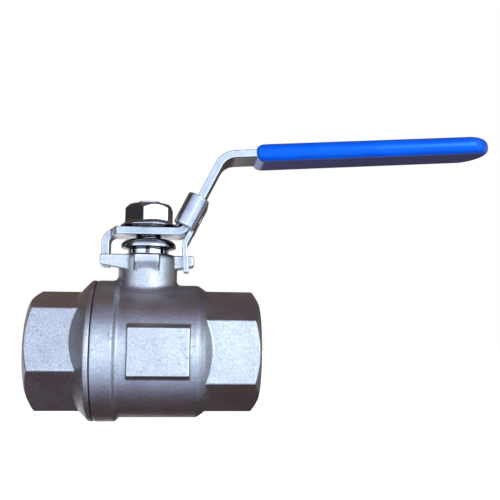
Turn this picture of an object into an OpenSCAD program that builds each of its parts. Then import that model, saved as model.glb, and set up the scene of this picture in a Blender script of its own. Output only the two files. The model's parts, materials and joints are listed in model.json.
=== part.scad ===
// Two-piece threaded ball valve with a lockable strap lever. Millimetres.
// Origin: centre of the inlet thread's mouth. +X runs along the pipe towards the outlet,
// +Z runs up the stem, and the lever points along +X when the valve is open.

/* [Pipe ends] */
// Length from end face to end face
end_length = 86; // [84:1:92]
// Hexagon size across its flats
hex_af = 40; // [39:0.5:42]
// Major diameter of the internal pipe thread
thread_d = 33.25; // [32.5:0.05:33.5]
// Depth of each threaded socket
thread_depth = 17; // [15:0.5:17]
// Bore of the waterway
port_d = 25; // [22:0.5:25]
// Turn of the end cap's hexagon against the body's hexagon, in degrees
cap_turn = 12.5; // [0:0.5:30]

/* [Body] */
// Diameter of the barrel
barrel_d = 50.2; // [50:0.2:52]
// Diameter of the flange and of the cap's rim, where body and cap meet
flange_d = 53.2; // [52.6:0.2:55]
// Diameter of the neck
neck_d = 22.6; // [22:0.2:24]
// Height of the neck's top above the pipe axis
neck_top = 36.8; // [36.6:0.1:36.9]
// Size of the raised label pads: along the pipe, across, and distance of the face from the axis
pad_length = 23; // [20:0.5:24]
pad_height = 19.6; // [16:0.4:20]
pad_face = 25.9; // [25.6:0.1:26.4]

/* [Ears] */
// Reach of the lock ear and of the two stop ears, from the stem axis
ear_reach = 17.8; // [17.2:0.2:18.2]
// Reach of the short front ear, which stays inside the sweep of the lock's prong
front_ear_reach = 13; // [12.4:0.2:13.2]
// Width of the lock ear and of the front ear
ear_w = 9.3; // [8.8:0.1:9.4]
// Thickness of the two stop ears
stop_ear_t = 4.3; // [3.5:0.1:4.3]

/* [Ball and stem] */
// Diameter of the ball
ball_d = 38; // [37.6:0.2:38]
// Diameter of the stem's shaft
stem_d = 11; // [10.4:0.2:11]
// Diameter of the stem's threaded end
stem_thread_d = 10; // [9.6:0.2:10]
// Distance across the stem's two driving flats
stem_flats = 7; // [6.6:0.1:7.4]
// Height of the stem's end above the pipe axis
stem_top = 57.7; // [57:0.1:58.4]

/* [Lever] */
// Width and thickness of the strap
strap_w = 17.4; // [16.4:0.2:17.4]
strap_t = 3; // [2.8:0.1:3]
// Slope of the strap's rising part, in degrees
rise_angle = 63.5; // [62:0.5:65]
// Length of the rising part between its two corners
rise_length = 34.1; // [33:0.5:36]
// Slope of the grip, in degrees
grip_angle = 4; // [0:0.2:8]
// Length of the strap's grip from the upper corner to its tip
grip_length = 108; // [90:1:130]
// Width and thickness of the vinyl sleeve
sleeve_w = 20.6; // [19.8:0.2:22]
sleeve_t = 7.2; // [6.2:0.1:7.4]

/* [Lock slide] */
// Thickness of the lock's sheet
sheet_t = 2; // [1.8:0.1:2]
// Length of the rolled channel along the strap
channel_length = 12.6; // [11:0.2:13]
// Diameter of the padlock hole
padlock_d = 6.5; // [5.5:0.5:7]

/* [Hidden] */
$fn = 96;

// Along the pipe, measured from the stem axis
half_length = end_length / 2;
hex_r = hex_af / 2 / cos(30);
face_r = 18.5;                 // radius of the flat end face inside the hexagon's chamfer
chamfer_slope = 0.575;         // axial run of that chamfer for each millimetre of radius
mouth_chamfer = 0.45;
socket_floor = half_length - thread_depth;
joint_x = -18.6;               // plane where the cap's shoulder meets the body
edge_break = 0.4;              // small chamfers that leave a groove round the joint
flange_end = -10.8;
cap_rim_end = -20.4;
barrel_end = 20.3;
spigot_r = 22;
spigot_end = -13.5;
gasket_t = 1;
thread_gap = 0.05;

// Ball, seats and cavity
ball_r = ball_d / 2;
port_r = port_d / 2;
cavity_r = 19.8;
seat_r = 17.25;
seat_floor = 16.45;
seat_start = 10.2;
seat_gap = 0.04;
cavity_end = 12;
slot_w = 6.4;
slot_floor = 14.2;
slot_gap = 0.1;

// Stem and packing heights above the pipe axis
tang_w = 12;
collar_r = 7.2;
collar_bottom = 19.6;
collar_top = 22.15;
washer_top = 23.4;
packing_floor = 26.5;
packing_r = 7.9;
ring_gap = 0.05;
ring_in = stem_d / 2 + ring_gap;
ring_out = packing_r;
ring_mid = (ring_in + ring_out) / 2;
ring_edge = 0.8;               // height of the base ring at its edges
ring_t = 1.3;                  // thickness of one V ring
ring_peak = 0.8;               // height of the V
v_ring_count = 3;
top_ring_t = 1.4;
follower_t = 1.2;
gland_top = 38.7;
notch_count = 4;               // notches cut right across the gland nut
notch_w = 1.5;
notch_floor = 37.2;
groove_z = 24.2;
groove_h = 1.8;
groove_r = 3.8;

// Above the gland
dish_r = 10.65;
dish_rim = 39.35;
dish_top = 42.9;
plate_bottom = 43.9;
plate_top = plate_bottom + strap_t;
plate_mid = plate_bottom + strap_t / 2;
nut_af = 17;
nut_r = nut_af / 2 / cos(30);
nut_flange_r = 11.2;
nut_h = 9.6;
nut_turn = 9.4;

// Strap route in the X-Z plane, from the stem axis
leg_bend_r = 4.5;              // radii of the strap's three bends, at its middle
low_bend_r = 3.5;
high_bend_r = 8;
leg_x = -16.25;
leg_bottom = 31.8;
leg_w = 8.2;
rise_dir = [cos(rise_angle), sin(rise_angle)];
rise_out = [sin(rise_angle), -cos(rise_angle)];
grip_dir = [cos(grip_angle), sin(grip_angle)];
low_corner = [13.42, plate_mid];
high_corner = low_corner + rise_length * rise_dir;
low_tangent = low_bend_r * tan(rise_angle / 2);
high_bend = rise_angle - grip_angle;
high_tangent = high_bend_r * tan(high_bend / 2);
sleeve_start = 12.7;           // along the grip, from the upper corner
sleeve_wall = 1.7;             // past the strap's tip

// Lock slide, along and across the rising strap
channel_start = 1.9;
roll_r = 4.3;                  // outer radius of the rolled edges
roll_y = 8.35;                 // their centres, from the middle
slide_gap = 0.1;
plate_in = strap_t / 2 + slide_gap;
roll_centre = plate_in + sheet_t - roll_r;
lip_reach = 4.5;
lock_mid = plate_in + sheet_t / 2;
tab_corner = -3.9;             // where the tab turns down, along the rising strap
tab_angle = 4;                 // the tab's lean away from the stem
tab_w = 16;
crotch_z = 36.5;
prong_bottom = 29.4;
prong_in = 4.95;
padlock_at = 8.2;              // padlock hole, along the rising strap from its lower corner

module at_stem() {
    translate([half_length, 0, 0]) children();
}

// Revolves [radius, distance along X] points about the pipe axis
module turn_x(points) {
    rotate([0, 90, 0]) rotate_extrude() polygon(points);
}

// Revolves [radius, height] points about the stem axis
module turn_z(points) {
    rotate_extrude() polygon(points);
}

module rod_x(r, x0, x1) {
    translate([x0, 0, 0]) rotate([0, 90, 0]) cylinder(r = r, h = x1 - x0);
}

module rod_z(r, z0, z1) {
    translate([0, 0, z0]) cylinder(r = r, h = z1 - z0);
}

// Works in the X-Z plane: 2D points are [x, z] and thickness runs along Y
module upright() {
    rotate([90, 0, 0]) children();
}

// One threaded end: a hexagon from x0 to the end face, with its corners turned off
module hex_end(x0) {
    intersection() {
        translate([x0, 0, 0]) rotate([0, 90, 0]) cylinder(r = hex_r, h = half_length - x0, $fn = 6);
        turn_x([
            [0, x0 - 1], [hex_r + 1, x0 - 1],
            [hex_r + 1, half_length - (hex_r + 1 - face_r) * chamfer_slope],
            [face_r, half_length], [0, half_length]
        ]);
    }
}

module socket() {
    thread_r = thread_d / 2;
    rod_x(thread_r, socket_floor, half_length + 1);
    turn_x([
        [0, half_length - mouth_chamfer], [thread_r, half_length - mouth_chamfer],
        [thread_r + mouth_chamfer + 1, half_length + 1], [0, half_length + 1]
    ]);
}

// Side outline of an ear that points along X, from inside the neck to its rounded tip
module ear_outline(reach, tip_low, tip_high) {
    tip_r = 1.1;
    root_x = 8;
    root_low = 30.6;
    hull() {
        polygon([[root_x, root_low], [root_x, tip_high], [reach - tip_r, tip_high],
                 [reach - tip_r, tip_low]]);
        translate([reach - tip_r, tip_high - tip_r]) circle(tip_r, $fn = 32);
        translate([reach - tip_r, tip_low + tip_r]) circle(tip_r, $fn = 32);
    }
}

// An ear between y0 and y1, pointing along X
module ear(reach, y0, y1, tip_low = 32.3, tip_high = 36.3) {
    translate([0, y1, 0]) upright() linear_extrude(y1 - y0) ear_outline(reach, tip_low, tip_high);
}

module ears() {
    stop_y = leg_w / 2 + 0.2;
    ear(ear_reach, -ear_w / 2, ear_w / 2);
    rotate([0, 0, -90]) ear(front_ear_reach, -ear_w / 2, ear_w / 2, 33.1, 36);
    rotate([0, 0, 180]) ear(ear_reach, stop_y, stop_y + stop_ear_t);
    rotate([0, 0, 90]) ear(ear_reach, -stop_y - stop_ear_t, -stop_y);
}

// Raised pad with drafted sides, on the -Y side
module pad() {
    pad_x = 5.4;
    pad_root = 22.5;
    side_draft = 1.25;
    end_draft = 0.45;
    half_l = pad_length / 2;
    half_h = pad_height / 2;
    translate([pad_x, 0, 0]) intersection() {
        rotate([90, 0, 90]) linear_extrude(pad_length + 1, center = true) polygon([
            [-pad_root, -half_h], [-pad_root, half_h],
            [-pad_face, half_h - side_draft], [-pad_face, -half_h + side_draft]
        ]);
        linear_extrude(pad_height + 1, center = true) polygon([
            [-half_l, -pad_root], [half_l, -pad_root],
            [half_l - end_draft, -pad_face], [-half_l + end_draft, -pad_face]
        ]);
    }
}

module body_outside() {
    flange_r = flange_d / 2;
    barrel_r = barrel_d / 2;
    neck_r = neck_d / 2;
    neck_edge = 1.2;
    turn_x([
        [0, joint_x], [flange_r - edge_break, joint_x], [flange_r, joint_x + edge_break],
        [flange_r, flange_end], [barrel_r, flange_end + 1.4], [barrel_r, barrel_end - 1],
        [barrel_r - 0.5, barrel_end], [hex_r + 0.1, 22.3], [hex_af / 2, 24.9], [18.6, 26], [0, 26]
    ]);
    hex_end(15);
    turn_z([
        [0, 15], [neck_r, 15], [neck_r, neck_top - neck_edge],
        [neck_r - neck_edge, neck_top], [0, neck_top]
    ]);
    ears();
    pad();
    mirror([0, 1, 0]) pad();
}

module valve_body() {
    color("silver") at_stem() difference() {
        body_outside();
        socket();
        rod_x(port_r, joint_x, socket_floor + 1);
        rod_x(seat_r + thread_gap, 0, seat_floor);
        rod_x(cavity_r, joint_x - 1, cavity_end);
        rod_x(spigot_r, joint_x - 1, spigot_end + gasket_t);
        rod_z(collar_r + 0.1, 15, washer_top);
        rod_z(stem_d / 2 + ring_gap, 15, packing_floor + 1);
        rod_z(packing_r, packing_floor, neck_top + 1);
    }
}

module end_cap() {
    rim_r = flange_d / 2;
    color("silver") at_stem() difference() {
        union() {
            turn_x([
                [0, spigot_end], [spigot_r - thread_gap, spigot_end],
                [spigot_r - thread_gap, joint_x], [rim_r - edge_break, joint_x],
                [rim_r, joint_x - edge_break], [rim_r, cap_rim_end], [hex_r + 0.1, -24],
                [hex_af / 2, -26.6], [18.6, -27.8], [0, -27.8]
            ]);
            rotate([-cap_turn, 0, 0]) mirror([1, 0, 0]) hex_end(19.2);
        }
        mirror([1, 0, 0]) socket();
        rod_x(port_r, -socket_floor - 1, spigot_end + 1);
        rod_x(seat_r + thread_gap, -seat_floor, spigot_end + 1);
    }
}

module ball() {
    color("gainsboro") at_stem() difference() {
        sphere(ball_r);
        rod_x(port_r, -ball_r, ball_r);
        translate([-slot_w / 2, -ball_r, slot_floor]) cube([slot_w, 2 * ball_r, ball_r]);
    }
}

module seat() {
    color("white") difference() {
        turn_x([
            [port_r + 0.1, seat_start], [seat_r, seat_start],
            [seat_r, seat_floor], [port_r + 0.1, seat_floor]
        ]);
        sphere(ball_r + seat_gap);
    }
}

module outlet_seat() {
    at_stem() seat();
}

module inlet_seat() {
    at_stem() mirror([1, 0, 0]) seat();
}

module body_gasket() {
    color("white") at_stem() turn_x([
        [cavity_r + 0.1, spigot_end], [spigot_r - thread_gap, spigot_end],
        [spigot_r - thread_gap, spigot_end + gasket_t], [cavity_r + 0.1, spigot_end + gasket_t]
    ]);
}

// A round bar with two flats that face along Y
module flatted_rod(r, flats, z0, z1) {
    intersection() {
        rod_z(r, z0, z1);
        translate([-r - 1, -flats / 2, z0]) cube([2 * r + 2, flats, z1 - z0]);
    }
}

module stem() {
    thread_r = stem_thread_d / 2;
    end_edge = 0.8;
    tang_bottom = slot_floor + slot_gap;
    color("gainsboro") at_stem() difference() {
        union() {
            intersection() {
                rod_z(collar_r, tang_bottom, collar_bottom + 1);
                translate([-slot_w / 2 + slot_gap, -tang_w / 2, tang_bottom])
                    cube([slot_w - 2 * slot_gap, tang_w, collar_bottom - tang_bottom + 1]);
            }
            rod_z(collar_r, collar_bottom, collar_top);
            rod_z(stem_d / 2, collar_bottom, gland_top);
            rod_z(thread_r, gland_top - 1, plate_bottom);
            intersection() {
                flatted_rod(thread_r, stem_flats, plate_bottom - 1, stem_top);
                turn_z([
                    [0, plate_bottom - 1], [thread_r, plate_bottom - 1],
                    [thread_r, stem_top - end_edge], [thread_r - end_edge, stem_top], [0, stem_top]
                ]);
            }
        }
        difference() {
            rod_z(stem_d, groove_z, groove_z + groove_h);
            rod_z(groove_r, groove_z - 1, groove_z + groove_h + 1);
        }
    }
}

module thrust_washer() {
    color("white") at_stem() difference() {
        rod_z(collar_r, collar_top + 0.05, washer_top);
        rod_z(ring_in, collar_top - 1, washer_top + 1);
    }
}

module stem_o_ring() {
    ring_r = 0.85;
    color("black") at_stem() translate([0, 0, groove_z + groove_h / 2])
        rotate_extrude() translate([groove_r + ring_r, 0]) circle(ring_r, $fn = 48);
}

// Height of the bottom edge of V ring number i
function v_ring_z(i) = packing_floor + ring_edge + i * ring_t;

module packing_base_ring() {
    color("white") at_stem() turn_z([
        [ring_in, packing_floor], [ring_out, packing_floor],
        [ring_out, v_ring_z(0)], [ring_mid, v_ring_z(0) + ring_peak], [ring_in, v_ring_z(0)]
    ]);
}

module v_ring(i) {
    z0 = v_ring_z(i);
    z1 = v_ring_z(i + 1);
    color("white") at_stem() turn_z([
        [ring_in, z0], [ring_mid, z0 + ring_peak], [ring_out, z0],
        [ring_out, z1], [ring_mid, z1 + ring_peak], [ring_in, z1]
    ]);
}

module packing_top_ring() {
    z0 = v_ring_z(v_ring_count);
    color("white") at_stem() turn_z([
        [ring_in, z0], [ring_mid, z0 + ring_peak], [ring_out, z0],
        [ring_out, z0 + top_ring_t], [ring_in, z0 + top_ring_t]
    ]);
}

module gland_follower() {
    z0 = v_ring_z(v_ring_count) + top_ring_t;
    color("gainsboro") at_stem() turn_z([
        [ring_in, z0], [ring_out, z0], [ring_out, z0 + follower_t], [ring_in, z0 + follower_t]
    ]);
}

module gland_nut() {
    z0 = v_ring_z(v_ring_count) + top_ring_t + follower_t;
    color("silver") at_stem() difference() {
        rod_z(packing_r - thread_gap, z0, gland_top);
        rod_z(ring_in, z0 - 1, gland_top + 1);
        for (i = [0 : notch_count - 1])
            rotate([0, 0, i * 180 / notch_count])
                translate([-packing_r, -notch_w / 2, notch_floor]) cube([2 * packing_r, notch_w, 3]);
    }
}

// Domed washer: flat where it sits on the gland nut, elliptical on top
module dished_washer() {
    hole_r = stem_thread_d / 2 + 0.15;
    dome_r = dish_r - hole_r;
    dome_h = dish_top - dish_rim;
    steps = 14;
    color("gainsboro") at_stem() turn_z(concat(
        [[hole_r, gland_top], [packing_r, gland_top]],
        [for (i = [0 : steps]) let (a = i * 90 / steps)
            [hole_r + dome_r * cos(a), dish_rim + dome_h * sin(a)]]
    ));
}

// Points of an arc about c, from angle a0 to a1
function arc(c, r, a0, a1, steps = 16) =
    [for (i = [0 : steps]) let (a = a0 + (a1 - a0) * i / steps) c + r * [cos(a), sin(a)]];

// One face of the bent strap, from the leg's foot to the grip's tip. side is +1 for the top
// face and -1 for the underside
function strap_side(side) =
    let (
        half_t = side * strap_t / 2,
        leg_centre = [leg_x + leg_bend_r, plate_mid - leg_bend_r],
        low_centre = [low_corner[0] - low_tangent, plate_mid + low_bend_r],
        high_centre = high_corner - high_tangent * rise_dir + high_bend_r * rise_out
    )
    concat(
        [[leg_x - half_t, leg_bottom]],
        arc(leg_centre, leg_bend_r + half_t, 180, 90),
        arc(low_centre, low_bend_r - half_t, -90, rise_angle - 90),
        arc(high_centre, high_bend_r + half_t, rise_angle + 90, grip_angle + 90),
        [high_corner + grip_length * grip_dir + half_t * [-grip_dir[1], grip_dir[0]]]
    );

function reversed(list) = [for (i = [len(list) - 1 : -1 : 0]) list[i]];

module strap() {
    upright() linear_extrude(strap_w, center = true)
        polygon(concat(strap_side(1), reversed(strap_side(-1))));
}

// Places children on the grip: x runs along it from the upper corner, z points out of its top
module on_grip() {
    translate([high_corner[0], 0, high_corner[1]]) rotate([0, -grip_angle, 0]) children();
}

// What the half-round tip takes off the grip's square end
module tip_trim() {
    tip_r = strap_w / 2;
    end_x = grip_length + 1;
    on_grip() linear_extrude(2 * strap_t, center = true) polygon(concat(
        [[end_x, -tip_r - 1]], [[grip_length - tip_r, -tip_r - 1]],
        arc([grip_length - tip_r, 0], tip_r, -90, 90, 32),
        [[grip_length - tip_r, tip_r + 1], [end_x, tip_r + 1]]
    ));
}

// Plan outline that narrows the strap to the stop leg
module leg_trim() {
    side = strap_w / 2 + 1;
    taper_x0 = -14.6;
    taper_x1 = -11.6;
    for (s = [-1, 1])
        linear_extrude(60) polygon([
            [-30, s * leg_w / 2], [taper_x0, s * leg_w / 2],
            [taper_x1, s * strap_w / 2], [taper_x1, s * side], [-30, s * side]
        ]);
}

// Places children at a point along the rising strap, with z pointing out of its underside
module on_rise(u) {
    p = low_corner + u * rise_dir;
    translate([p[0], 0, p[1]]) rotate([0, 90 + 90 - rise_angle, 0]) children();
}

module padlock_hole() {
    on_rise(padlock_at) cylinder(d = padlock_d, h = 20, center = true);
}

module lever() {
    color("silver") at_stem() difference() {
        strap();
        tip_trim();
        leg_trim();
        flatted_rod(stem_thread_d / 2 + 0.05, stem_flats + 0.1, plate_bottom - 1, plate_top + 1);
        padlock_hole();
    }
}

// A bar with rounded long edges and a half-round end, along the grip
module grip_shape(x0, x1, w, t, edge) {
    intersection() {
        union() {
            translate([x0, -w / 2, -t / 2 + edge]) cube([x1 - x0, w, t - 2 * edge]);
            translate([x0, -w / 2 + edge, -t / 2]) cube([x1 - x0, w - 2 * edge, t]);
            for (y = [-1, 1], z = [-1, 1])
                translate([0, y * (w / 2 - edge), z * (t / 2 - edge)]) rod_x(edge, x0, x1);
        }
        union() {
            translate([x0 - 1, -w / 2, -t]) cube([x1 - x0 + 1 - w / 2, w, 2 * t]);
            translate([x1 - w / 2, 0, -t]) cylinder(d = w, h = 2 * t);
        }
    }
}

module lever_sleeve() {
    edge = 2.2;
    color("royalblue") at_stem() on_grip() difference() {
        grip_shape(sleeve_start, grip_length + sleeve_wall, sleeve_w, sleeve_t, edge);
        translate([sleeve_start - 1, -strap_w / 2, -strap_t / 2])
            cube([grip_length - sleeve_start + 1 - strap_w / 2, strap_w, strap_t]);
        translate([grip_length - strap_w / 2, 0, -strap_t / 2])
            cylinder(d = strap_w, h = strap_t);
    }
}

module handle_nut() {
    flange_edge = 0.8;
    flare_top = 2.9;
    top_face_r = 7.9;
    crown = 1.1;
    color("gainsboro") at_stem() translate([0, 0, plate_top]) difference() {
        union() {
            turn_z([
                [0, 0], [nut_flange_r, 0], [nut_flange_r, flange_edge],
                [nut_r - 1, flare_top + 0.6], [0, flare_top + 0.6]
            ]);
            intersection() {
                rotate([0, 0, -90 - nut_turn]) cylinder(r = nut_r, h = nut_h, $fn = 6);
                turn_z([
                    [0, 0], [nut_r, 0], [nut_r, nut_h - crown - 0.2],
                    [top_face_r, nut_h], [0, nut_h]
                ]);
            }
        }
        rod_z(stem_thread_d / 2 + 0.02, -1, nut_h + 1);
    }
}

// Rolled edge of the lock's channel, in the Y-across plane: half a ring that opens inwards
module roll(side) {
    rotate([0, 0, side > 0 ? -90 : 90]) rotate_extrude(angle = 180)
        translate([roll_r - sheet_t, 0]) square([sheet_t, channel_length]);
}

// Cross-section axes here: x along Y of the part, y out of the strap's underside, z along the strap
module lock_channel() {
    translate([-roll_y, plate_in, 0]) cube([2 * roll_y, sheet_t, channel_length]);
    for (side = [-1, 1]) {
        translate([side * roll_y, roll_centre, 0]) roll(side);
        translate([side > 0 ? lip_reach : -roll_y, roll_centre - roll_r, 0])
            cube([roll_y - lip_reach, sheet_t, channel_length]);
    }
}

module lock_tab() {
    corner = low_corner + tab_corner * rise_dir + lock_mid * rise_out;
    top = low_corner + (channel_start + 1) * rise_dir + lock_mid * rise_out;
    slant = norm(top - corner);
    drop = (corner[1] - prong_bottom) / cos(tab_angle);
    upright() {
        translate([corner[0], corner[1], 0]) rotate([0, 0, rise_angle])
            translate([0, -sheet_t / 2, -tab_w / 2]) cube([slant, sheet_t, tab_w]);
        translate([corner[0], corner[1], -tab_w / 2]) cylinder(d = sheet_t, h = tab_w);
        translate([corner[0], corner[1], 0]) rotate([0, 0, -90 + tab_angle])
            translate([0, -sheet_t / 2, -tab_w / 2]) cube([drop, sheet_t, tab_w]);
    }
}

// What the tab loses below its crotch: the gap over the ear and the whole rear side
module tab_gap() {
    translate([0, -prong_in, prong_bottom - 1]) cube([30, tab_w, crotch_z - prong_bottom + 1]);
}

module lock_slide() {
    color("gainsboro") at_stem() difference() {
        union() {
            on_rise(channel_start) rotate([0, -90, 0]) rotate([0, 0, -90]) lock_channel();
            lock_tab();
        }
        tab_gap();
        padlock_hole();
    }
}

valve_body();
end_cap();
ball();
inlet_seat();
outlet_seat();
body_gasket();
stem();
thrust_washer();
stem_o_ring();
packing_base_ring();
v_ring(0);  // v_ring_lower
v_ring(1);  // v_ring_middle
v_ring(2);  // v_ring_upper
packing_top_ring();
gland_follower();
gland_nut();
dished_washer();
lever();
lever_sleeve();
handle_nut();
lock_slide();
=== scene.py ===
"""Looks of the two-piece lever ball valve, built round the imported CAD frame.

Each shaped piece is the zero surface of a distance field, which is below zero inside the piece.
Fields work in millimetres from the stem axis, where it crosses the pipe axis: x along the pipe,
z up the stem. Meshes are in metres in the row frame.
"""

import json
import math

import bmesh
import bpy
import numpy as np
from mathutils import Matrix, Vector


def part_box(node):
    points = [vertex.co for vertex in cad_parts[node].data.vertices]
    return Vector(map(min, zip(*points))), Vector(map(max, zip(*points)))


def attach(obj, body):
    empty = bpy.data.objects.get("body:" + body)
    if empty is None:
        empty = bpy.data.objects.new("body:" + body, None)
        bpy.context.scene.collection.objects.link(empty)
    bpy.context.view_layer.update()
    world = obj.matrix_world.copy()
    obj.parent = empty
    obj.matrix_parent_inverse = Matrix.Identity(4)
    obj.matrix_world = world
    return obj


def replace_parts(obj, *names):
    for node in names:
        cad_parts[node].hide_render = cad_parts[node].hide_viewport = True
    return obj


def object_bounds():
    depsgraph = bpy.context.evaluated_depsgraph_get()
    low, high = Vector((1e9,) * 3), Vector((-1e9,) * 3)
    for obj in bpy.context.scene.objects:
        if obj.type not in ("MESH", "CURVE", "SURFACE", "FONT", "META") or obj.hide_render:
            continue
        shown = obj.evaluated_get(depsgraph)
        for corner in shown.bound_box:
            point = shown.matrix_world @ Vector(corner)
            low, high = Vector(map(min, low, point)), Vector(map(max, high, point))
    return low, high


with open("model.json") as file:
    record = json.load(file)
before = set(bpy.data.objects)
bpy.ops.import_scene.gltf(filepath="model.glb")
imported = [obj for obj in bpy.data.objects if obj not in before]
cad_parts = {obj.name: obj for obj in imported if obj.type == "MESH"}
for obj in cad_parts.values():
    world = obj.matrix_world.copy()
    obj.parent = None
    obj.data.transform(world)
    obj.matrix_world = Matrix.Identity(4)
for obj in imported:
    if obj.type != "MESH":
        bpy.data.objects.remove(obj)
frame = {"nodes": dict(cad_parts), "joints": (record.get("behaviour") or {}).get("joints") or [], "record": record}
cad_low, cad_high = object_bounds()

MM = 0.001

# ---------------------------------------------------------------- driving sizes, in mm

record = frame["record"]
mounts = {m["name"]: m for m in record["mounts"]}
hinge = next(j for j in frame["joints"] if j["name"] == "lever_turn")
STEM = Vector((hinge["pos_m"][0], 0, 0))


def span(node):
    """A node's box in mm from the stem axis, as ((x0, x1), (y0, y1), (z0, z1))."""
    low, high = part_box(node)
    low, high = (low - STEM) / MM, (high - STEM) / MM
    return tuple(zip(low, high))


BODY, CAP, LEVER, SLEEVE = span("valve_body"), span("end_cap"), span("lever"), span("lever_sleeve")
NUT, WASHER, GLAND, STEM_ROD = span("handle_nut"), span("dished_washer"), span("gland_nut"), span("stem")

# body and cap, along the pipe
HALF_LENGTH = BODY[0][1]
JOINT_X = BODY[0][0]
FLANGE_R = BODY[1][1]
FLANGE_BEVEL = 0.4
BARREL_R = 25.1
HEX_AF = 40
HEX_R = HEX_AF / 2 / math.cos(math.radians(30))
CAP_TURN = math.degrees(math.atan2(mounts["inlet_wrench_flat"]["axis"][2],
                                   -mounts["inlet_wrench_flat"]["axis"][1]))
FACE_R = 18.5
CHAMFER_SLOPE = 0.575

# bores
THREAD_R = mounts["inlet_thread"]["dims"]["r_mm"]
THREAD_DEPTH = 17
PORT_R = 12.5
SEAT_R = 17.3
SEAT_BACK = 16.45
CHAMBER_R = 19.8
CHAMBER_END = 12
SPIGOT_R = 21.95
SPIGOT_END = CAP[0][1]

# raised pads: middle, half sizes at the face, and draft of the sides
PAD_X = 5.4
PAD_FACE = BODY[1][1] - 0.7
PAD_HALF_L = 11.05
PAD_HALF_H = 8.55
PAD_DRAFT_L = 0.13
PAD_DRAFT_H = 0.37

# neck and ears
NECK_R = 11.3
NECK_TOP = BODY[2][1]
NECK_BEVEL = 1.2
EAR_W = 9.3
EAR_REACH = 17.8
EAR_LOW = 32.3
EAR_TOP = 36.3
STOP_MID = 6.45
STOP_HALF_W = 2.15
PACKING_R = GLAND[0][1] + 0.05

# stem, and the bores in the neck that hold it
SHAFT_R = 5.55
THREAD_END_R = 5
STEM_PITCH = 1.5
TANG_Z = 17.3
TANG_HALF = (3.1, 6, 3)
COLLAR_R = 7.2
COLLAR_LOW = 19.6
COLLAR_TOP = 22.15
COLLAR_POCKET_TOP = 23.4
GROOVE_R = 3.8
GROOVE_Z = 25.1
GROOVE_HALF_H = 0.9
PACKING_FLOOR = 26.5

# strap: a flat plate, a leg down at one end, a rising part and the grip
STRAP_T = 3
STRAP_W = LEVER[1][1] * 2
PLATE_BOTTOM = NUT[2][0] - STRAP_T
PLATE_MID = PLATE_BOTTOM + STRAP_T / 2
LEG_X = LEVER[0][0] + STRAP_T / 2
LEG_BOTTOM = LEVER[2][0]
LEG_W = 8.2
LEG_END_X = -14.6
WIDENS_OVER = 3
BEND_RADII = (4.5, 3.5, 8)
RISE = math.radians(63.5)
RISE_LENGTH = 34.1
GRIP = math.radians(4)
GRIP_LENGTH = 108
RISE_DIR = np.array((math.cos(RISE), math.sin(RISE)))
RISE_OUT = np.array((math.sin(RISE), -math.cos(RISE)))
GRIP_DIR = np.array((math.cos(GRIP), math.sin(GRIP)))
GRIP_UP = np.array((-math.sin(GRIP), math.cos(GRIP)))
LOW_CORNER = np.array((13.42, PLATE_MID))
HIGH_CORNER = LOW_CORNER + RISE_LENGTH * RISE_DIR
SLEEVE_START = 12.7
SLEEVE_END = GRIP_LENGTH + 1
SLEEVE_W = SLEEVE[1][1] * 2
SLEEVE_T = 7.2

# lock plate, on the rising part
PADLOCK_AT = 8.2
PADLOCK_R = mounts["padlock_hole"]["dims"]["r_mm"]
PRONG_BOTTOM = span("lock_slide")[2][0]

# ---------------------------------------------------------------- fields


def smin(a, b, k):
    """Union of two fields, with a fillet whose legs are k long."""
    h = np.maximum(k - np.abs(a - b), 0) / k
    return np.minimum(a, b) - h * h * k / 4


def smax(a, b, k):
    """Intersection of two fields, with a rounding whose legs are k long."""
    return -smin(-a, -b, k)


def cut(a, hole, k=0.2):
    return smax(a, -hole, k)


def turned(r, h, points, k):
    """A convex revolved shape: points (radius, height) run round its outline, height rising."""
    d = None
    for (r0, h0), (r1, h1) in zip(points, points[1:]):
        size = math.hypot(r1 - r0, h1 - h0)
        side = ((r - r0) * (h1 - h0) - (h - h0) * (r1 - r0)) / size
        d = side if d is None else smax(d, side, k)
    return d


def rod(r, h, radius, h0, h1, k=0.2):
    return turned(r, h, [(0, h0), (radius, h0), (radius, h1), (0, h1)], k)


def hexagon(a, b, across, turn, k):
    """Hexagonal prism's side field; turn 0 puts flats at +a and -a."""
    d = None
    for i in range(3):
        angle = math.radians(turn + 60 * i)
        side = np.abs(a * math.cos(angle) + b * math.sin(angle)) - across / 2
        d = side if d is None else smax(d, side, k)
    return d


def rounded(outline, height, k):
    """A flat plate: outline field, and height field across it, with quarter-round edges of radius k."""
    u, v = outline + k, height + k
    return np.hypot(np.maximum(u, 0), np.maximum(v, 0)) + np.minimum(np.maximum(u, v), 0) - k


def path_field(a, b, corners, radii):
    """Distance in the plane to a path with rounded corners."""
    corners = [np.array(c, float) for c in corners]
    d = np.full(a.shape, 1e9)
    start = corners[0]
    for i in range(1, len(corners)):
        corner = corners[i]
        into = (corner - corners[i - 1]) / np.linalg.norm(corner - corners[i - 1])
        end = corner
        if i < len(corners) - 1:
            out = (corners[i + 1] - corner) / np.linalg.norm(corners[i + 1] - corner)
            turn = math.acos(np.clip(into @ out, -1, 1))
            tangent = radii[i - 1] * math.tan(turn / 2)
            end = corner - tangent * into
            inward = (out - into) / np.linalg.norm(out - into)
            centre = corner + inward * radii[i - 1] / math.cos(turn / 2)
            va, vb = a - centre[0], b - centre[1]
            reach = np.hypot(va, vb)
            inside = -(va * inward[0] + vb * inward[1]) >= reach * math.cos(turn / 2)
            d = np.where(inside, np.minimum(d, np.abs(reach - radii[i - 1])), d)
        seg = end - start
        t = np.clip(((a - start[0]) * seg[0] + (b - start[1]) * seg[1]) / (seg @ seg), 0, 1)
        d = np.minimum(d, np.hypot(a - start[0] - t * seg[0], b - start[1] - t * seg[1]))
        if i < len(corners) - 1:
            start = corner + tangent * out
    return d


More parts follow.
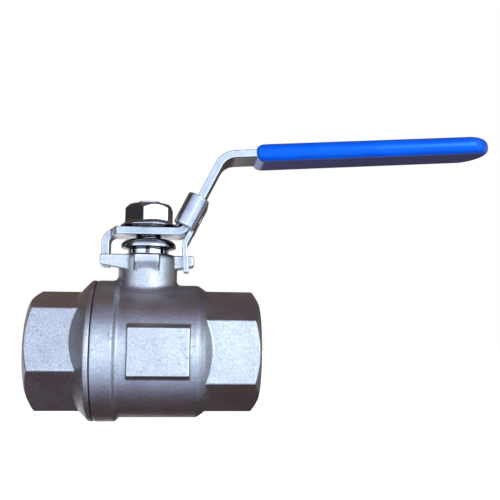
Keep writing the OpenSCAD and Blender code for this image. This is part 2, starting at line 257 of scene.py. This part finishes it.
def on_rise(x, z):
    """Coordinates along the rising strap and out of its underside."""
    dx, dz = x - LOW_CORNER[0], z - LOW_CORNER[1]
    return dx * RISE_DIR[0] + dz * RISE_DIR[1], dx * RISE_OUT[0] + dz * RISE_OUT[1]


def on_grip(x, z):
    """Coordinates along the grip and out of its top."""
    dx, dz = x - HIGH_CORNER[0], z - HIGH_CORNER[1]
    return dx * GRIP_DIR[0] + dz * GRIP_DIR[1], dx * GRIP_UP[0] + dz * GRIP_UP[1]


# ---------------------------------------------------------------- fields of the pieces


def hex_end(x, y, z, start, turn):
    """Hexagonal end from start to the face, with its corners turned off."""
    r = np.hypot(y, z)
    d = hexagon(y, z, HEX_AF, turn, 0.5)
    d = smax(d, np.maximum(start - x, x - HALF_LENGTH), 0.3)
    chamfer = ((r - FACE_R) * CHAMFER_SLOPE + x - HALF_LENGTH) / math.hypot(CHAMFER_SLOPE, 1)
    return smax(d, chamfer, 0.45)


def socket(r, x):
    """Threaded socket with a 45 degree lead-in at the face."""
    lead_in = 0.45
    hole = rod(r, x, THREAD_R, HALF_LENGTH - THREAD_DEPTH, HALF_LENGTH + 2)
    return np.minimum(hole, (r - THREAD_R - lead_in + HALF_LENGTH - x) / math.sqrt(2))


def ear(along, across, z, reach, low, top, root_x=8.0, nose=1.1):
    """An ear that points along its first coordinate; nose is the rounding of its outer end."""
    root_low = 30.6
    slope = math.hypot(reach - root_x, low - root_low)
    under = ((along - root_x) * (low - root_low) - (z - root_low) * (reach - root_x)) / slope
    d = smax(under, z - top, 0.9)
    d = smax(d, along - reach, nose)
    d = smax(d, across, 0.7)
    return np.maximum(d, 5 - along)


def four_ears(x, y, z):
    """One broad ear on the outlet side, a short broad one in front, and two narrow stops."""
    broad = ear(x, np.abs(y) - EAR_W / 2, z, EAR_REACH, EAR_LOW, EAR_TOP)
    front = ear(-y, np.abs(x) - EAR_W / 2, z, reach=13, low=33.3, top=36, root_x=11.1, nose=0.4)
    inlet_stop = ear(-x, np.abs(y + STOP_MID) - STOP_HALF_W, z, EAR_REACH, EAR_LOW, EAR_TOP)
    back_stop = ear(y, np.abs(x - STOP_MID) - STOP_HALF_W, z, EAR_REACH, EAR_LOW, EAR_TOP)
    return np.minimum(np.minimum(broad, front), np.minimum(inlet_stop, back_stop))


def pad(x, y, z):
    """Both raised pads. Depth is how far a point lies under the pad's face."""
    depth = PAD_FACE - np.abs(y)
    ends = np.abs(x - PAD_X) - PAD_HALF_L - PAD_DRAFT_L * depth
    edges = np.abs(z) - PAD_HALF_H - PAD_DRAFT_H * depth
    d = smax(ends, edges, 0.8)
    return smax(smax(d, -depth, 0.35), 15 - np.abs(y), 0.3)


def valve_body(x, y, z):
    r, rz = np.hypot(y, z), np.hypot(x, y)
    flange = turned(r, x, [(0, JOINT_X), (FLANGE_R - FLANGE_BEVEL, JOINT_X),
                           (FLANGE_R, JOINT_X + FLANGE_BEVEL), (FLANGE_R, -10.8), (BARREL_R, -9.4),
                           (0, 14)], 0.35)
    core = turned(r, x, [(0, JOINT_X + 1), (BARREL_R, JOINT_X + 1), (BARREL_R, 19.3), (24.6, 20.3),
                         (HEX_R + 0.1, 22.3), (HEX_AF / 2, 24.9), (18.6, 26), (0, 26)], 0.1)
    d = smin(flange, core, 0.5)
    d = smin(d, hex_end(x, y, z, 15, 0), 0.4)
    neck = turned(rz, z, [(0, 15), (NECK_R, 15), (NECK_R, NECK_TOP - NECK_BEVEL),
                          (NECK_R - NECK_BEVEL, NECK_TOP), (0, NECK_TOP)], 0.9)
    neck = smin(neck, four_ears(x, y, z), 0.4)
    d = smin(d, neck, 2.0)
    d = smin(d, pad(x, y, z), 0.5)
    holes = (
        socket(r, x),
        rod(r, x, PORT_R, -30, 30),
        rod(r, x, SEAT_R, 0, SEAT_BACK),
        rod(r, x, CHAMBER_R, -30, CHAMBER_END),
        rod(r, x, SPIGOT_R + 0.05, -30, SPIGOT_END + 1),
        rod(rz, z, COLLAR_R + 0.1, 15, COLLAR_POCKET_TOP),
        rod(rz, z, SHAFT_R, 15, 30),
        rod(rz, z, PACKING_R, PACKING_FLOOR, 40),
    )
    return cut(d, np.minimum.reduce(holes), 0.3)


def end_cap(x, y, z):
    r = np.hypot(y, z)
    rim = turned(r, x, [(0, -27.8), (18.6, -27.8), (HEX_AF / 2, -26.6), (HEX_R + 0.1, -24),
                        (FLANGE_R, -20.4), (FLANGE_R, JOINT_X - FLANGE_BEVEL),
                        (FLANGE_R - FLANGE_BEVEL, JOINT_X), (0, JOINT_X)], 0.5)
    spigot = rod(r, x, SPIGOT_R, -22, SPIGOT_END)
    d = smin(rim, spigot, 0.1)
    d = smin(d, hex_end(-x, y, z, 19.2, -CAP_TURN), 0.4)
    holes = socket(r, -x), rod(r, x, PORT_R, -30, 0), rod(r, x, SEAT_R, -SEAT_BACK, 0)
    return cut(d, np.minimum.reduce(holes), 0.3)


def valve_stem(x, y, z):
    """Tang, collar, shaft with a groove for the O-ring, and a threaded end with two flats."""
    rz = np.hypot(x, y)
    tip = STEM_ROD[2][1]
    thread_depth, tip_bevel, flat_half = 0.75, 0.8, 3.5
    tang = smax(np.abs(x) - TANG_HALF[0], np.abs(y) - TANG_HALF[1], 0.2)
    tang = smax(tang, np.abs(z - TANG_Z) - TANG_HALF[2], 0.2)
    collar = rod(rz, z, COLLAR_R, COLLAR_LOW, COLLAR_TOP)
    groove = smax(GROOVE_R - rz, np.abs(z - GROOVE_Z) - GROOVE_HALF_H, 0.1)
    shaft = cut(rod(rz, z, SHAFT_R - 0.05, COLLAR_LOW + 0.1, GLAND[2][1]), groove)
    ridge = np.abs(np.mod(z / STEM_PITCH - np.arctan2(y, x) / (2 * math.pi), 1) - 0.5) * 2
    end = rod(rz + thread_depth * ridge, z, THREAD_END_R, 36, tip, 0.3)
    end = smax(end, rz + z - THREAD_END_R - tip + tip_bevel, 0.2)
    end = smax(end, np.minimum(np.abs(y) - flat_half, z - PLATE_BOTTOM), 0.1)
    return np.minimum(np.minimum(tang, collar), np.minimum(shaft, end))


def strap_path(x, z):
    """Distance to the strap's middle line, from the foot of the leg to past the grip's end."""
    tip = HIGH_CORNER + (GRIP_LENGTH + 1) * GRIP_DIR
    corners = [(LEG_X, LEG_BOTTOM - 1), (LEG_X, PLATE_MID), LOW_CORNER, HIGH_CORNER, tip]
    return path_field(x, z, corners, BEND_RADII)


def padlock_hole(x, y, z):
    u, n = on_rise(x, z)
    return np.maximum(np.hypot(u - PADLOCK_AT, y) - PADLOCK_R, np.abs(n) - 9)


def round_ended(g, y, end, width):
    """A strip along the grip, with a round end."""
    centre = end - width / 2
    return np.where(g > centre, np.hypot(g - centre, y), np.abs(y)) - width / 2


def lever(x, y, z):
    """Strap that widens from its leg to its plate, with the stem's hole and the padlock's."""
    g, _ = on_grip(x, z)
    share = np.clip((x - LEG_END_X) / WIDENS_OVER, 0, 1)
    half_w = LEG_W / 2 + (STRAP_W - LEG_W) / 2 * share * share * (3 - 2 * share)
    outline = np.where(x > 30, round_ended(g, y, GRIP_LENGTH, STRAP_W), np.abs(y) - half_w)
    outline = np.maximum(outline, np.where(x < -10, LEG_BOTTOM - z, -9))
    d = rounded(outline, strap_path(x, z) - STRAP_T / 2, 0.35)
    hole = smax(np.hypot(x, y) - THREAD_END_R - 0.05, np.abs(y) - 3.55, 0.1)
    hole = smax(hole, np.abs(z - PLATE_MID) - 4, 0.1)
    return cut(cut(d, hole), padlock_hole(x, y, z), 0.5)


def lever_sleeve(x, y, z):
    """Sleeve that thins towards its round end, with a hollow that fits the strap."""
    g, h = on_grip(x, z)
    nose_length, nose_thins, clearance = 12, 0.9, 0.03
    nose = np.clip((g - SLEEVE_END + nose_length) / nose_length, 0, 1)
    half_t = SLEEVE_T / 2 - nose_thins * nose * nose
    outline = smax(round_ended(g, y, SLEEVE_END, SLEEVE_W), SLEEVE_START - g, 1.8)
    d = rounded(outline, np.abs(h) - half_t, 3.1 - 0.8 * nose)
    inside = round_ended(g, y, GRIP_LENGTH + clearance, STRAP_W + 2 * clearance)
    return cut(d, np.maximum(inside, np.abs(h) - STRAP_T / 2 - clearance), 0.3)


def handle_nut(x, y, z):
    rz, h = np.hypot(x, y), z - NUT[2][0]
    flange_r, top = NUT[0][1], NUT[2][1] - NUT[2][0]
    across_flats, turn, corner_r = 17, -9.4, 9.9
    flare = turned(rz, h, [(0, 0), (corner_r, 0), (flange_r, 1), (flange_r, 1.35), (8.6, 2.6),
                           (0, 3.6)], 0.2)
    crown = turned(rz, h, [(0, 0), (corner_r, 0), (corner_r, top - 2), (corner_r - 2, top),
                           (0, top)], 0.25)
    d = smin(flare, smax(hexagon(x, y, across_flats, turn, 0.3), crown, 0.35), 0.8)
    return cut(d, rod(rz, h, THREAD_END_R + 0.02, -1, 11), 0.3)


def dished_washer(x, y, z):
    """A dome whose section is a superellipse, over a foot that stands in the gland."""
    rz = np.hypot(x, y)
    power = 2.6
    hole_r = THREAD_END_R + 0.15
    low, rim, top = WASHER[2][0], 39.35, WASHER[2][1]
    radius, height = WASHER[0][1] - hole_r, top - rim
    bulge = (np.abs(rz - hole_r) / radius) ** power + (np.maximum(z - rim, 0) / height) ** power
    dome = (np.maximum(bulge, 1e-6) ** (1 / power) - 1) * height
    under = turned(rz, z, [(0, low), (PACKING_R, low), (WASHER[0][1] + 0.2, rim), (30, 45)], 0.2)
    d = smax(dome, under, 0.3)
    return smax(d, hole_r - rz, 0.25)


def gland_nut(x, y, z):
    """A ring with four slots across its top."""
    rz = np.hypot(x, y)
    low, top = GLAND[2]
    outer_r, slot_half, slot_floor = PACKING_R - 0.05, 0.75, 37.2
    wall = np.abs(rz - (SHAFT_R + outer_r) / 2) - (outer_r - SHAFT_R) / 2
    d = smax(wall, np.maximum(low - z, z - top), 0.25)
    for i in range(4):
        angle = math.radians(45 * i)
        across = np.abs(-x * math.sin(angle) + y * math.cos(angle)) - slot_half
        d = cut(d, smax(across, slot_floor - z, 0.1), 0.2)
    return d


def lock_slide(x, y, z):
    """A channel rolled round both edges of the strap, with a tab that ends in the front prong."""
    u, n = on_rise(x, z)
    side = np.abs(y)
    half_sheet = 1
    roll_y, roll_n, roll_r, lip_y = 8.35, -0.7, 3.3, 5.5
    half_length = 6.3
    tab_half_w, tab_out, above_bend, below_bend, bend_r = 8, 2.6, 4, 3.9, 3.2
    foot_length, foot_lean, gap_side, gap_top = 13.5, math.radians(4), 4.95, 36.5
    flat = np.hypot(np.maximum(side - roll_y, 0), n - roll_n - roll_r)
    lip = np.hypot(np.maximum(np.maximum(side - roll_y, lip_y - side), 0), n - roll_n + roll_r)
    curl = np.abs(np.hypot(side - roll_y, n - roll_n) - roll_r)
    section = np.minimum(np.minimum(flat, lip), np.where(side > roll_y, curl, 1e9)) - half_sheet
    channel = smax(section, np.abs(u - PADLOCK_AT) - half_length, 0.5)
    top = LOW_CORNER + above_bend * RISE_DIR + tab_out * RISE_OUT
    bend = LOW_CORNER - below_bend * RISE_DIR + tab_out * RISE_OUT
    foot = bend + foot_length * np.array((math.sin(foot_lean), -math.cos(foot_lean)))
    tab = path_field(x, z, [top, bend, foot], [bend_r]) - half_sheet
    outline = smax(side - tab_half_w, PRONG_BOTTOM - z, 1.2)
    gap = smax(-gap_side - y, z - gap_top, 0.8)
    outline = smax(outline, -gap, 0.8)
    d = smin(channel, rounded(outline, tab, 0.3), 0.5)
    return cut(d, padlock_hole(x, y, z), 0.5)


def casting(*xyz):
    return np.minimum(valve_body(*xyz), end_cap(*xyz))


def top_works(*xyz):
    """Everything round the stem, for the shade in its corners."""
    low = np.minimum(casting(*xyz), np.minimum(gland_nut(*xyz), dished_washer(*xyz)))
    return np.minimum(low, np.minimum(valve_stem(*xyz), handle_nut(*xyz)))


# ---------------------------------------------------------------- meshes


def local(points):
    """Row-frame metres to the fields' millimetres."""
    return ((points - np.array(STEM)) / MM).T


def gradient(field, p, step=0.02):
    g = np.empty((3, p.shape[1]))
    for i in range(3):
        offset = np.zeros((3, 1))
        offset[i] = step
        g[i] = (field(*(p + offset)) - field(*(p - offset))) / (2 * step)
    return g


def hollowness(field, p, normal, reach=2.4, steps=5):
    """From 0 on an open surface to 1 in a deep corner, from the field itself."""
    dark = np.zeros(p.shape[1])
    for i in range(1, steps + 1):
        t = reach * i / steps
        dark += np.clip(t - field(*(p + normal * t)), 0, t) / t
    return dark / steps


def place(mesh, name, body, finish):
    """An object for the mesh, which rides on its body."""
    mesh.materials.clear()
    mesh.materials.append(finish)
    mesh.name = name
    piece = bpy.data.objects.new(name, mesh)
    bpy.context.scene.collection.objects.link(piece)
    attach(piece, body)
    return piece


def remeshed(name, node, cell):
    """A voxel remesh of the CAD node, with cells of that many mm."""
    source = bpy.data.objects.new(name + "_source", frame["nodes"][node].data.copy())
    bpy.context.scene.collection.objects.link(source)
    remesh = source.modifiers.new("remesh", "REMESH")
    remesh.mode = "VOXEL"
    remesh.voxel_size = cell * MM
    graph = bpy.context.evaluated_depsgraph_get()
    mesh = bpy.data.meshes.new_from_object(source.evaluated_get(graph))
    bpy.data.objects.remove(source)
    return mesh


def fitted(name, node, field, cell, body, finish, around=None):
    """A closed mesh on the zero surface of field. It starts as a fine remesh of the CAD node.

    It carries three values per point for its material: crevice is the depth of a corner, down how
    far the surface faces down, and edge how sharp an edge it is.
    """
    passes, least_slope = 5, 0.2
    mesh = remeshed(name, node, cell)
    co = np.empty(len(mesh.vertices) * 3)
    mesh.vertices.foreach_get("co", co)
    p = local(co.reshape(-1, 3))
    for _ in range(passes):
        g = gradient(field, p)
        step = field(*p) / np.maximum((g * g).sum(0), least_slope)
        p = p - g * np.clip(step, -cell, cell)
    normal = gradient(field, p)
    normal /= np.maximum(np.linalg.norm(normal, axis=0), 1e-6)
    mesh.vertices.foreach_set("co", ((p.T * MM) + np.array(STEM)).ravel())
    values = {
        "crevice": hollowness(around or field, p, normal),
        "down": np.maximum(-normal[2], 0),
        "edge": hollowness(lambda *q: -field(*q), p, -normal, reach=1.2, steps=3),
    }
    for key, value in values.items():
        mesh.attributes.new(key, "FLOAT", "POINT").data.foreach_set("value", value.astype(np.float32))
    mesh.shade_smooth()
    mesh.update()
    mesh.normals_split_custom_set_from_vertices(normal.T)
    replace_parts(place(mesh, name, body, finish), node)


def helix(name, root_r, crest_r, pitch, start, turns, along, body, finish):
    """A screw thread's ridge as one closed strip, which runs out at both ends.

    along is the matrix from the thread's axis (local z) to the row frame.
    """
    steps, run_out, sink = 84, 0.3, 0.15
    root_half, crest_half = pitch * 0.5, pitch * 0.09
    buried_r = root_r + (sink if root_r > crest_r else -sink)
    total = int(turns * steps)
    bm = bmesh.new()
    rings = []
    for i in range(total + 1):
        angle = 2 * math.pi * i / steps
        fade = max(0.02, min(1, i / (run_out * steps), (total - i) / (run_out * steps)))
        crest = root_r + (crest_r - root_r) * fade
        section = ((root_r, -root_half), (crest, -crest_half), (crest, crest_half), (root_r, root_half),
                   (buried_r, root_half), (buried_r, -root_half))
        ring = []
        for r, offset in section:
            z = start + pitch * i / steps + offset * (0.35 + 0.65 * fade)
            ring.append(bm.verts.new(along @ Vector((r * math.cos(angle), r * math.sin(angle), z))))
        rings.append(ring)
    for a, b in zip(rings, rings[1:]):
        for j in range(len(a)):
            k = (j + 1) % len(a)
            bm.faces.new((a[j], a[k], b[k], b[j]))
    bm.faces.new(rings[0])
    bm.faces.new(list(reversed(rings[-1])))
    bmesh.ops.recalc_face_normals(bm, faces=bm.faces)
    mesh = bpy.data.meshes.new(name)
    bm.to_mesh(mesh)
    bm.free()
    mesh.shade_smooth()
    mesh.set_sharp_from_angle(angle=math.radians(35))
    place(mesh, name, body, finish)


# ---------------------------------------------------------------- materials


def link_or_set(tree, socket, value):
    """Links the value to the socket if it is another node's output, and sets it otherwise."""
    if isinstance(value, bpy.types.NodeSocket):
        tree.links.new(value, socket)
    else:
        socket.default_value = value


def smooth_range(tree, value, low, high, to_low, to_high):
    """A value from to_low at low to to_high at high, with eased ends."""
    node = tree.nodes.new("ShaderNodeMapRange")
    node.interpolation_type = "SMOOTHSTEP"
    link_or_set(tree, node.inputs["Value"], value)
    for key, v in (("From Min", low), ("From Max", high), ("To Min", to_low), ("To Max", to_high)):
        node.inputs[key].default_value = v
    return node.outputs["Result"]


def math_node(tree, kind, a, b=0.0):
    node = tree.nodes.new("ShaderNodeMath")
    node.operation = kind
    link_or_set(tree, node.inputs[0], a)
    link_or_set(tree, node.inputs[1], b)
    return node.outputs[0]


def mix_node(tree, share, a, b):
    """Colour a where share is 0, and b where it is 1. Plain colours are (red, green, blue)."""
    node = tree.nodes.new("ShaderNodeMix")
    node.data_type = "RGBA"
    link_or_set(tree, node.inputs["Factor"], share)
    link_or_set(tree, node.inputs["A"], (*a, 1) if isinstance(a, tuple) else a)
    link_or_set(tree, node.inputs["B"], (*b, 1) if isinstance(b, tuple) else b)
    return node.outputs["Result"]


class Shader:
    """A short way to write a material: each method adds one node and returns its output."""

    def __init__(self, name):
        self.material = bpy.data.materials.new(name)
        self.material.use_nodes = True
        self.tree = self.material.node_tree
        self.main = self.tree.nodes["Principled BSDF"]
        self.position = self.tree.nodes.new("ShaderNodeTexCoord").outputs["Object"]

    def noise(self, size, detail=3, rough=0.55, stretch=None):
        """Noise with features of about size mm."""
        node = self.tree.nodes.new("ShaderNodeTexNoise")
        node.inputs["Scale"].default_value = 1 / (size * MM)
        node.inputs["Detail"].default_value = detail
        node.inputs["Roughness"].default_value = rough
        position = self.position
        if stretch:
            mapping = self.tree.nodes.new("ShaderNodeMapping")
            mapping.inputs["Scale"].default_value = stretch
            self.tree.links.new(position, mapping.inputs["Vector"])
            position = mapping.outputs["Vector"]
        self.tree.links.new(position, node.inputs["Vector"])
        return node.outputs["Fac"]

    def ramp(self, value, low, high, to_low=0.0, to_high=1.0):
        return smooth_range(self.tree, value, low, high, to_low, to_high)

    def maths(self, kind, a, b):
        return math_node(self.tree, kind, a, b)

    def mix(self, share, a, b):
        return mix_node(self.tree, share, a, b)

    def attribute(self, name):
        node = self.tree.nodes.new("ShaderNodeAttribute")
        node.attribute_name = name
        return node.outputs["Fac"]

    def bump(self, height, depth, strength, under=None):
        """Relief of height 0 to 1 times depth mm."""
        node = self.tree.nodes.new("ShaderNodeBump")
        node.inputs["Strength"].default_value = strength
        node.inputs["Distance"].default_value = depth * MM
        link_or_set(self.tree, node.inputs["Height"], height)
        if under is not None:
            link_or_set(self.tree, node.inputs["Normal"], under)
        return node.outputs["Normal"]

    def set(self, **values):
        """Sets or links the shader's own sockets; base_color stands for "Base Color"."""
        names = {k.lower().replace(" ", "_"): k for k in self.main.inputs.keys()}
        for key, value in values.items():
            link_or_set(self.tree, self.main.inputs[names[key]], value)


def cast_steel():
    """Shot-blasted casting: fine grain, patches of small dark pits, painted shade in the corners and painted
    highlights along the edges.
    """
    s = Shader("cast_stainless")
    cloud = s.noise(11, 3)
    grain = s.noise(0.75, 4, 0.8)
    pits = s.maths("MULTIPLY", s.ramp(s.noise(0.8, 2, 0.6), 0.63, 0.7), s.ramp(s.noise(7, 2), 0.5, 0.6))
    corner = s.ramp(s.attribute("crevice"), 0.3, 0.75)
    painted_edge_highlight = s.ramp(s.attribute("edge"), 0.12, 0.4)
    colour = s.mix(s.ramp(cloud, 0.35, 0.65), (0.56, 0.54, 0.54), (0.66, 0.645, 0.64))
    colour = s.mix(s.ramp(grain, 0.32, 0.68, 0.6, 0), colour, (0.34, 0.32, 0.32))
    colour = s.mix(s.maths("MULTIPLY", pits, 0.5), colour, (0.13, 0.1, 0.09))
    # painted shade: corners darken with their depth
    colour = s.mix(s.maths("MULTIPLY", corner, 0.75), colour, (0.11, 0.08, 0.07))
    # painted highlight: sharp edges lightened towards a pale grey
    colour = s.mix(s.maths("MULTIPLY", painted_edge_highlight, 0.7), colour, (0.83, 0.8, 0.77))
    rough = s.maths("ADD", s.ramp(cloud, 0.3, 0.7, 0.27, 0.33), s.ramp(grain, 0.3, 0.7, 0.07, 0))
    relief = s.bump(grain, 0.17, 0.8)
    relief = s.bump(s.maths("SUBTRACT", 1.0, pits), 0.12, 0.7, relief)
    s.set(base_color=colour, metallic=1.0, roughness=rough, normal=relief)
    return s.material


def sheet_steel(name, base, dark, rough, grain_size=0.25, depth=0.02, corner_shade_range=(0.2, 0.65), under=0.0):
    """Smooth steel, with painted shade in corners and on undersides and painted highlights on edges. The corner
    range is where corners start and finish going dark with painted shade; under sets how dark the painted shade
    makes undersides.
    """
    s = Shader(name)
    cloud = s.noise(5, 3)
    grain = s.noise(grain_size, 3, 0.6)
    scratch = s.ramp(s.noise(0.5, 2, 0.5, (1, 9, 9)), 0.6, 0.72)
    corner = s.ramp(s.attribute("crevice"), *corner_shade_range)
    painted_edge_highlight = s.ramp(s.attribute("edge"), 0.15, 0.5)
    colour = s.mix(s.ramp(cloud, 0.3, 0.7), base, dark)
    # painted shade: corners darken with their depth
    colour = s.mix(s.maths("MULTIPLY", corner, 0.9), colour, (0.08, 0.065, 0.06))
    # painted highlight: sharp edges lightened towards a pale grey
    colour = s.mix(s.maths("MULTIPLY", painted_edge_highlight, 0.5), colour, (0.86, 0.85, 0.84))
    # painted shade: faces that turn down are darkened by as much as under
    colour = s.mix(s.ramp(s.attribute("down"), 0.3, 0.7, 0, under), colour, (0.05, 0.04, 0.04))
    roughness = s.ramp(cloud, 0.3, 0.7, rough, rough + 0.06)
    roughness = s.maths("ADD", roughness, s.maths("MULTIPLY", scratch, 0.07))
    s.set(base_color=colour, metallic=1.0, roughness=roughness, normal=s.bump(grain, depth, 0.5))
    return s.material


def blue_vinyl():
    """Glossy dipped vinyl with soft dimples, painted greyer underneath as painted shade with a grey painted sheen.
    """
    s = Shader("blue_vinyl")
    cloud = s.noise(14, 2)
    dimple = s.noise(1.6, 2, 0.5)
    colour = s.mix(s.ramp(cloud, 0.3, 0.7), (0.001, 0.098, 0.62), (0.002, 0.115, 0.7))
    # painted shade and painted sheen: faces turned furthest down go a dull grey-blue
    colour = s.mix(s.ramp(s.attribute("down"), 0.84, 0.99), colour, (0.14, 0.15, 0.36))
    s.set(base_color=colour, roughness=s.ramp(dimple, 0.3, 0.7, 0.15, 0.2),
          normal=s.bump(dimple, 0.03, 0.3), specular_ior_level=0.5, specular_tint=(0.16, 0.6, 1, 1))
    return s.material


def soft_plastic(name, base, shade, rough):
    s = Shader(name)
    cloud = s.noise(3, 3)
    s.set(base_color=s.mix(s.ramp(cloud, 0.3, 0.7), base, shade),
          roughness=s.ramp(cloud, 0.3, 0.7, rough, rough + 0.1),
          normal=s.bump(s.noise(0.3, 2), 0.02, 0.4))
    return s.material


cast = cast_steel()
polished = sheet_steel("polished_stainless", (0.56, 0.55, 0.54), (0.51, 0.5, 0.49), 0.1,
                       grain_size=0.4, depth=0.006, under=0.9)
machined = sheet_steel("turned_stainless", (0.7, 0.69, 0.68), (0.64, 0.63, 0.62), 0.2, corner_shade_range=(0.12, 0.42))
strap = sheet_steel("strap_stainless", (0.56, 0.555, 0.56), (0.43, 0.43, 0.45), 0.22,
                    grain_size=0.6, depth=0.07)
vinyl = blue_vinyl()
FINISH = {
    "cast_stainless": cast,
    "polished_stainless": polished,
    "turned_stainless": machined,
    "strap_stainless": strap,
    "ptfe": soft_plastic("ptfe", (0.86, 0.86, 0.83), (0.8, 0.8, 0.78), 0.35),
    "fluoro_rubber": soft_plastic("fluoro_rubber", (0.02, 0.02, 0.02), (0.03, 0.03, 0.03), 0.5),
    "blue_vinyl": vinyl,
}

# ---------------------------------------------------------------- pieces

for part in record["subparts"]:
    mesh = frame["nodes"][part["node"]].data
    mesh.materials.clear()
    mesh.materials.append(FINISH[part["material_slot"]])

# remesh cells in mm; the big castings stay under 200 000 triangles
CELL = 0.53
STRAP_CELL = 0.3
SMALL_CELL = 0.22
RING_CELL = 0.2

fitted("body_casting", "valve_body", valve_body, CELL, "root", cast, casting)
fitted("cap_casting", "end_cap", end_cap, CELL, "root", cast, casting)
fitted("gland_ring", "gland_nut", gland_nut, RING_CELL, "root", machined)
fitted("domed_washer", "dished_washer", dished_washer, SMALL_CELL, "root", polished, top_works)
fitted("threaded_stem", "stem", valve_stem, SMALL_CELL, "lever_assembly", machined, top_works)
fitted("strap_lever", "lever", lever, STRAP_CELL, "lever_assembly", strap)
fitted("vinyl_sleeve", "lever_sleeve", lever_sleeve, CELL, "lever_assembly", vinyl)
fitted("flange_nut", "handle_nut", handle_nut, SMALL_CELL, "lever_assembly", polished)
fitted("lock_plate", "lock_slide", lock_slide, STRAP_CELL, "lock", strap)

# G 1 pipe threads in both sockets, a little short of the face and of the socket's floor
PIPE_PITCH = 2.309
PIPE_CREST_R = 15.15
PIPE_START = HALF_LENGTH - THREAD_DEPTH + 1.4
PIPE_TURNS = (THREAD_DEPTH - 2.6) / PIPE_PITCH
at_stem = Matrix.Translation(STEM) @ Matrix.Scale(MM, 4)
for name, angle in (("outlet_thread", 90), ("inlet_thread", -90)):
    along = at_stem @ Matrix.Rotation(math.radians(angle), 4, "Y")
    helix(name, THREAD_R, PIPE_CREST_R, PIPE_PITCH, PIPE_START, PIPE_TURNS, along, "root",
          cast)

# ---------------------------------------------------------------- camera, floor and light

CAMERA_FROM_STEM = Vector((0.0134, -0.2909, 0.0055))
VIEW_ANGLE = math.radians(37.134)
HEADING, TILT, ROLL = math.radians(-5.18), math.radians(6.67), math.radians(0.54)
FLOOR_DROP = 0.5
FLOOR_HALF = 30

camera = bpy.data.objects.new("camera", bpy.data.cameras.new("camera"))
bpy.context.scene.collection.objects.link(camera)
bpy.context.scene.camera = camera
camera.location = STEM + CAMERA_FROM_STEM
camera.rotation_euler = (Matrix.Rotation(HEADING, 3, "Z") @ Matrix.Rotation(math.pi / 2 + TILT, 3, "X")
                         @ Matrix.Rotation(ROLL, 3, "Z")).to_euler()
camera.data.sensor_width = 36
camera.data.lens = camera.data.sensor_width / 2 / math.tan(VIEW_ANGLE / 2)
camera.data.clip_start = 0.01

floor_mesh = bpy.data.meshes.new("floor")
floor_mesh.from_pydata([(-FLOOR_HALF, -FLOOR_HALF, 0), (FLOOR_HALF, -FLOOR_HALF, 0),
                        (FLOOR_HALF, FLOOR_HALF, 0), (-FLOOR_HALF, FLOOR_HALF, 0)], [], [(0, 1, 2, 3)])
floor = bpy.data.objects.new("floor", floor_mesh)
floor.location.z = cad_low.z - FLOOR_DROP
bpy.context.scene.collection.objects.link(floor)
pale = Shader("pale_floor")
pale.set(base_color=pale.mix(pale.noise(400, 2), (0.9, 0.9, 0.9), (0.94, 0.94, 0.94)), roughness=0.8,
         emission_color=(1, 1, 1, 1), emission_strength=0.9)
floor_mesh.materials.append(pale.material)
floor.visible_glossy = False
floor.visible_diffuse = False

# The studio round the object, as patches of sky that fade into each other, later ones over earlier
# ones: azimuth (0 is the front, 90 is +X), half width, height above the horizon, half height, and
# soft edges across and up, in degrees, then colour.
STUDIO = (
    (-92, 14, 0, 50, 4, 10, (0.05, 0.045, 0.055)),    # dark gap on the left
    (156, 12, 0, 40, 4, 10, (0.07, 0.06, 0.06)),      # dark gap behind on the right
    (204, 27, -10, 18, 6, 8, (0.95, 0.97, 1.04)),     # light from behind
    (112, 16, -4, 18, 6, 8, (0.45, 0.46, 0.5)),       # weak light from the right
    (-124, 13, -6, 16, 5, 8, (0.45, 0.46, 0.5)),      # weak light from the left
    (6, 68, -3, 44, 5, 34, (0.6, 0.64, 1.3)),         # blue fringe of the front light
    (6, 73, -4, 34, 6, 28, (1.22, 1.55, 1.95)),       # wide front light
    (-26, 12, -6, 10, 8, 6, (1.6, 1.9, 2.3)),         # its brighter middle
    (31, 14, 13, 5, 6, 3, (8.5, 9.4, 10)),            # small lamp, for a line of light on the sleeve
)
LOW_ROOM, HIGH_ROOM = (0.1, 0.072, 0.075), (0.17, 0.125, 0.115)


def studio_light():
    """Soft light from all round, strongest in front. The camera itself sees plain white."""
    world = bpy.data.worlds.new("studio")
    bpy.context.scene.world = world
    world.use_nodes = True
    tree = world.node_tree
    tree.nodes.clear()
    direction = tree.nodes.new("ShaderNodeSeparateXYZ")
    tree.links.new(tree.nodes.new("ShaderNodeTexCoord").outputs["Generated"], direction.inputs["Vector"])
    x, y, z = direction.outputs
    up = math_node(tree, "ARCSINE", z)

    def combine(a, x_share, b, y_share):
        a, b = math_node(tree, "MULTIPLY", a, x_share), math_node(tree, "MULTIPLY", b, y_share)
        return math_node(tree, "ADD", a, b)

    def fade(angle, half, soft):
        low, high = math.radians(half - soft), math.radians(half + soft)
        return smooth_range(tree, math_node(tree, "ABSOLUTE", angle), low, high, 1, 0)

    def patch(azimuth, wide, height, tall, soft_side, soft_up):
        """1 inside a patch of sky, fading to 0 over its soft edges."""
        to_x, to_y = math.sin(math.radians(azimuth)), -math.cos(math.radians(azimuth))
        turn = math_node(tree, "ARCTAN2", combine(x, -to_y, y, to_x), combine(x, to_x, y, to_y))
        rise = math_node(tree, "SUBTRACT", up, math.radians(height))
        return math_node(tree, "MULTIPLY", fade(turn, wide, soft_side), fade(rise, tall, soft_up))

    colour = mix_node(tree, smooth_range(tree, z, -0.35, 0.35, 0, 1), LOW_ROOM, HIGH_ROOM)
    for *place_and_size, tint in STUDIO:
        colour = mix_node(tree, patch(*place_and_size), colour, tint)
    seen = tree.nodes.new("ShaderNodeLightPath").outputs["Is Camera Ray"]
    back = tree.nodes.new("ShaderNodeBackground")
    tree.links.new(mix_node(tree, seen, colour, (1, 1, 1)), back.inputs["Color"])
    out = tree.nodes.new("ShaderNodeOutputWorld")
    tree.links.new(back.outputs[0], out.inputs["Surface"])


studio_light()
bpy.context.scene.view_settings.view_transform = "Standard"
